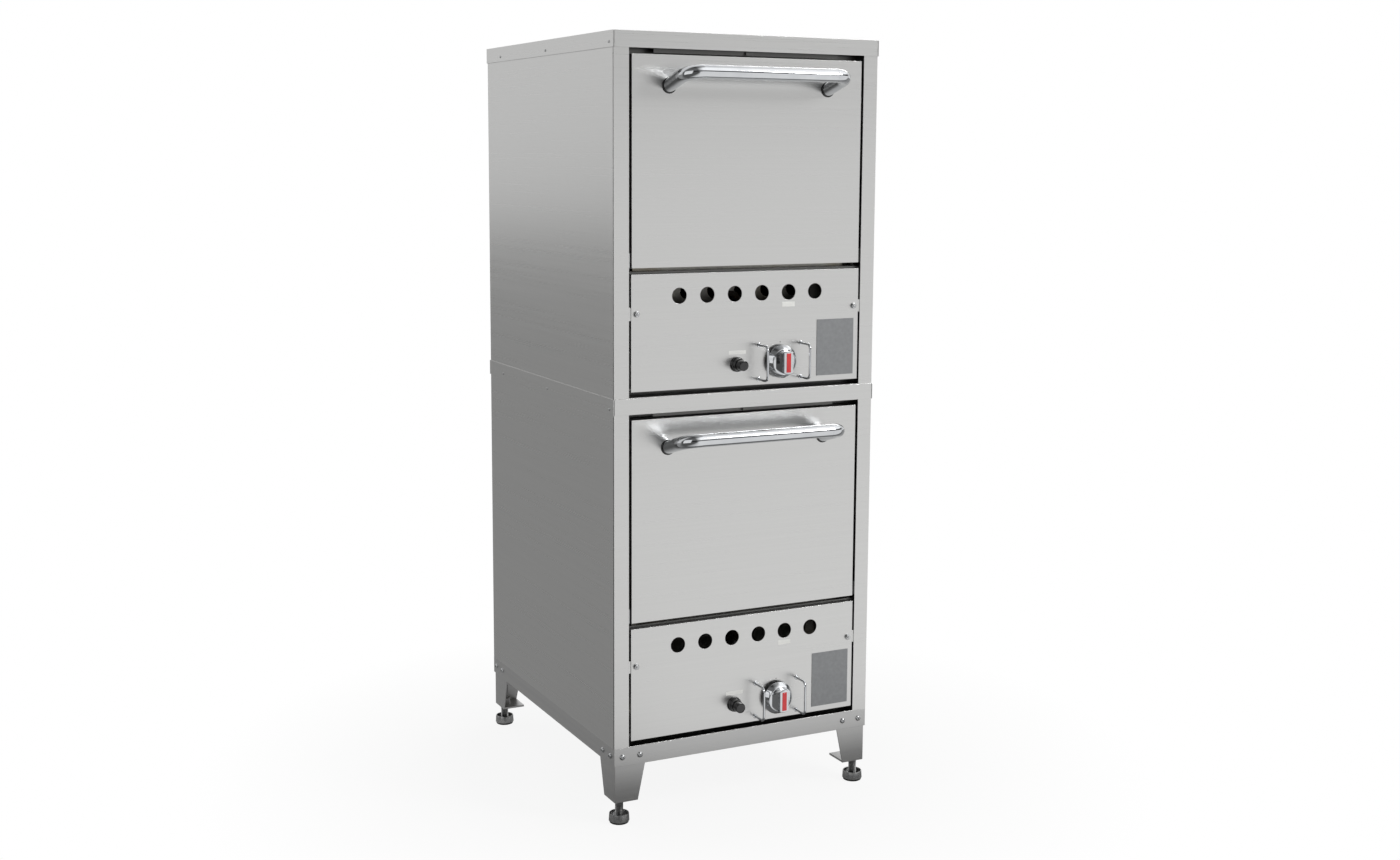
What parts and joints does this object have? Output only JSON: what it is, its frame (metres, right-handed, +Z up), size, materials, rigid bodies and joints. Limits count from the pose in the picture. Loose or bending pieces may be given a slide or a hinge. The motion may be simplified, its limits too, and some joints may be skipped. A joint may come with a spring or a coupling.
{
  "type": "double-deck gas pizza oven",
  "caption": "Free-standing stainless-steel deck oven with stacked baking chambers, drop-down doors with bent tube handles, control panels, guarded dials and levelling feet.",
  "frame": {"origin": "on the floor, under the middle of the overall box", "axes": "+Z up, +X to the right seen from the front, -Y out of the front"},
  "size_m": [0.709, 0.999, 1.87],
  "materials": {
    "stainless": "satin",
    "stand_steel": "satin",
    "bright_steel": "satin",
    "foot_steel": "satin",
    "oven_steel": "matte",
    "burner_steel": "matte",
    "pipe_steel": "matte",
    "cast_aluminium": "matte",
    "chrome": "polished",
    "plate_aluminium": "satin",
    "black_plastic": "gloss",
    "baking_stone": "matte",
    "mineral_wool": "matte",
    "sealing_cord": "matte"
  },
  "bodies": {
    "oven": {"base_frame": "stand_steel", "corner_legs": "stand_steel", "leg_bolts": "bright_steel", "upper_left_side": "stainless", "upper_right_side": "stainless", "upper_rear_panel": "stainless", "upper_top_cap": "stainless", "upper_face_frame": "stainless", "upper_chamber": "oven_steel", "upper_baking_stone": "baking_stone", "upper_burner": "burner_steel", "upper_gas_pipes": "pipe_steel", "upper_thermostat": "cast_aluminium", "upper_control_panel": "stainless", "upper_door_springs": "bright_steel", "lower_left_side": "stainless", "lower_right_side": "stainless", "lower_rear_panel": "stainless", "lower_top_cap": "stainless", "lower_face_frame": "stainless", "lower_chamber": "oven_steel", "lower_baking_stone": "baking_stone", "lower_burner": "burner_steel", "lower_gas_pipes": "pipe_steel", "lower_thermostat": "cast_aluminium", "lower_control_panel": "stainless", "lower_door_springs": "bright_steel", "floor_pans": "oven_steel", "burner_boxes": "oven_steel", "body_insulation": "mineral_wool", "flame_baffles": "burner_steel", "pilot_burners": "burner_steel", "igniter_bodies": "black_plastic", "door_seals": "sealing_cord", "hinge_brackets": "bright_steel", "cap_screws": "bright_steel", "panel_fixings": "bright_steel", "instruction_plates": "plate_aluminium", "knob_guards": "chrome", "flue_ducts": "oven_steel"},
    "front_left_foot_body": {"front_left_foot": "foot_steel"},
    "front_right_foot_body": {"front_right_foot": "foot_steel"},
    "rear_left_foot_body": {"rear_left_foot": "foot_steel"},
    "rear_right_foot_body": {"rear_right_foot": "foot_steel"},
    "upper_dial": {"upper_knob_shaft": "bright_steel", "upper_knob": "chrome"},
    "upper_button": {"upper_igniter_button": "black_plastic"},
    "upper_door": {"upper_door_shell": "stainless", "upper_door_liner": "oven_steel", "upper_door_insulation": "mineral_wool", "upper_door_handle": "chrome", "upper_hinge_arms": "bright_steel"},
    "lower_dial": {"lower_knob_shaft": "bright_steel", "lower_knob": "chrome"},
    "lower_button": {"lower_igniter_button": "black_plastic"},
    "lower_door": {"lower_door_shell": "stainless", "lower_door_liner": "oven_steel", "lower_door_insulation": "mineral_wool", "lower_door_handle": "chrome", "lower_hinge_arms": "bright_steel"}
  },
  "joints": [
    {"name": "upper_door_hinge", "type": "hinge", "parent": "oven", "child": "upper_door", "pos_m": [0, -0.3685, 1.3465], "axis": [1, 0, 0], "range_deg": [0, 90], "stiffness_Nm_per_rad": 9, "springref_deg": -14.32, "deforming": ["upper_door_springs"]},
    {"name": "upper_dial_turn", "type": "hinge", "parent": "oven", "child": "upper_dial", "pos_m": [0.088, -0.3855, 1.099], "axis": [0, -1, 0], "range_deg": [0, 300]},
    {"name": "upper_button_push", "type": "slide", "parent": "oven", "child": "upper_button", "axis": [0, 1, 0], "range_m": [0, 0.006], "stiffness_N_per_m": 1500, "springref_m": -0.001},
    {"name": "lower_door_hinge", "type": "hinge", "parent": "oven", "child": "lower_door", "pos_m": [0, -0.3685, 0.5065], "axis": [1, 0, 0], "range_deg": [0, 90], "stiffness_Nm_per_rad": 9, "springref_deg": -14.32, "deforming": ["lower_door_springs"]},
    {"name": "lower_dial_turn", "type": "hinge", "parent": "oven", "child": "lower_dial", "pos_m": [0.088, -0.3855, 0.259], "axis": [0, -1, 0], "range_deg": [0, 300]},
    {"name": "lower_button_push", "type": "slide", "parent": "oven", "child": "lower_button", "axis": [0, 1, 0], "range_m": [0, 0.006], "stiffness_N_per_m": 1500, "springref_m": -0.001},
    {"name": "front_left_foot_level", "type": "slide", "parent": "oven", "child": "front_left_foot_body", "axis": [0, 0, 1], "range_m": [-0.025, 0.012]},
    {"name": "front_right_foot_level", "type": "slide", "parent": "oven", "child": "front_right_foot_body", "axis": [0, 0, 1], "range_m": [-0.025, 0.012]},
    {"name": "rear_left_foot_level", "type": "slide", "parent": "oven", "child": "rear_left_foot_body", "axis": [0, 0, 1], "range_m": [-0.025, 0.012]},
    {"name": "rear_right_foot_level", "type": "slide", "parent": "oven", "child": "rear_right_foot_body", "axis": [0, 0, 1], "range_m": [-0.025, 0.012]}
  ]
}
